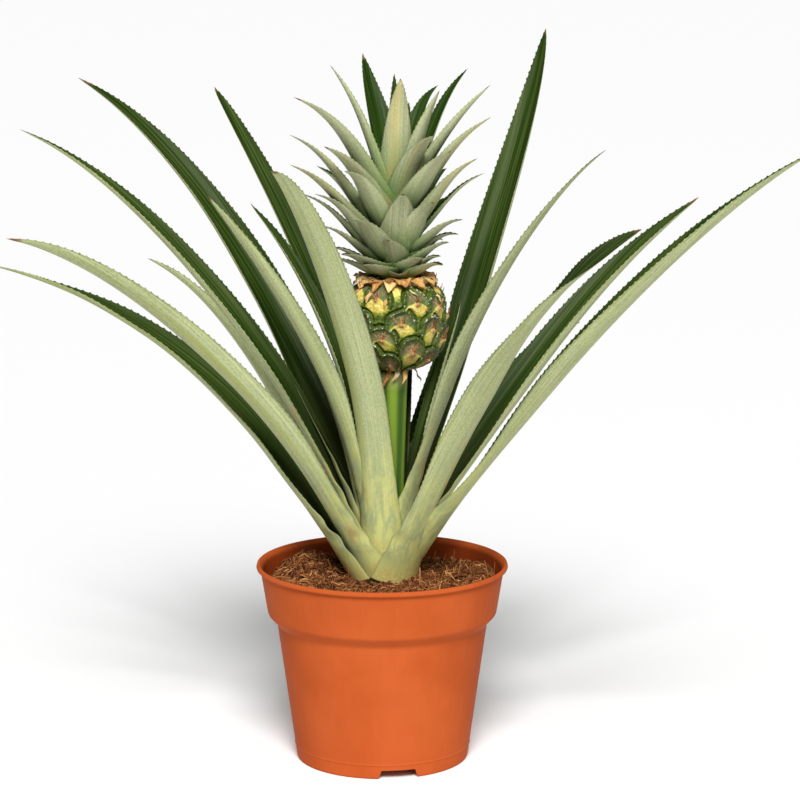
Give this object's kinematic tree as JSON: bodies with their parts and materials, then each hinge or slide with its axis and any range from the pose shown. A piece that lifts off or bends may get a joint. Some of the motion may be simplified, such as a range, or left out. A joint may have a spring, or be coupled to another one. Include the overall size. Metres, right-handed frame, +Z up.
{
  "type": "potted pineapple plant",
  "caption": "Ornamental pineapple plant in a plastic nursery pot, with arching spiny leaves, a small fruit on a stalk and a leafy crown.",
  "frame": {"origin": "centre of the pot's foot, on the surface that it stands on", "axes": "+Z up, +X to the right of a viewer who faces the front, +Y away from that viewer"},
  "size_m": [0.3703, 0.339, 0.343],
  "materials": {
    "pot_plastic": "satin",
    "coir_soil": "matte",
    "leaf_green": "satin",
    "stem_tissue": "matte",
    "stalk_green": "satin",
    "fruit_rind": "gloss",
    "crown_green": "satin"
  },
  "bodies": {
    "root": {"pot": "pot_plastic", "soil": "coir_soil", "stem": "stem_tissue", "leaf_01": "leaf_green", "leaf_02": "leaf_green", "leaf_03": "leaf_green", "leaf_04": "leaf_green", "leaf_05": "leaf_green", "leaf_06": "leaf_green", "leaf_07": "leaf_green", "leaf_08": "leaf_green", "leaf_09": "leaf_green", "leaf_10": "leaf_green", "leaf_11": "leaf_green", "leaf_12": "leaf_green", "leaf_13": "leaf_green", "leaf_14": "leaf_green", "leaf_15": "leaf_green", "leaf_16": "leaf_green", "leaf_17": "leaf_green", "leaf_18": "leaf_green", "leaf_19": "leaf_green", "leaf_20": "leaf_green", "leaf_21": "leaf_green", "leaf_22": "leaf_green", "leaf_23": "leaf_green", "stalk": "stalk_green", "fruit": "fruit_rind", "crown": "crown_green"}
  },
  "joints": []
}
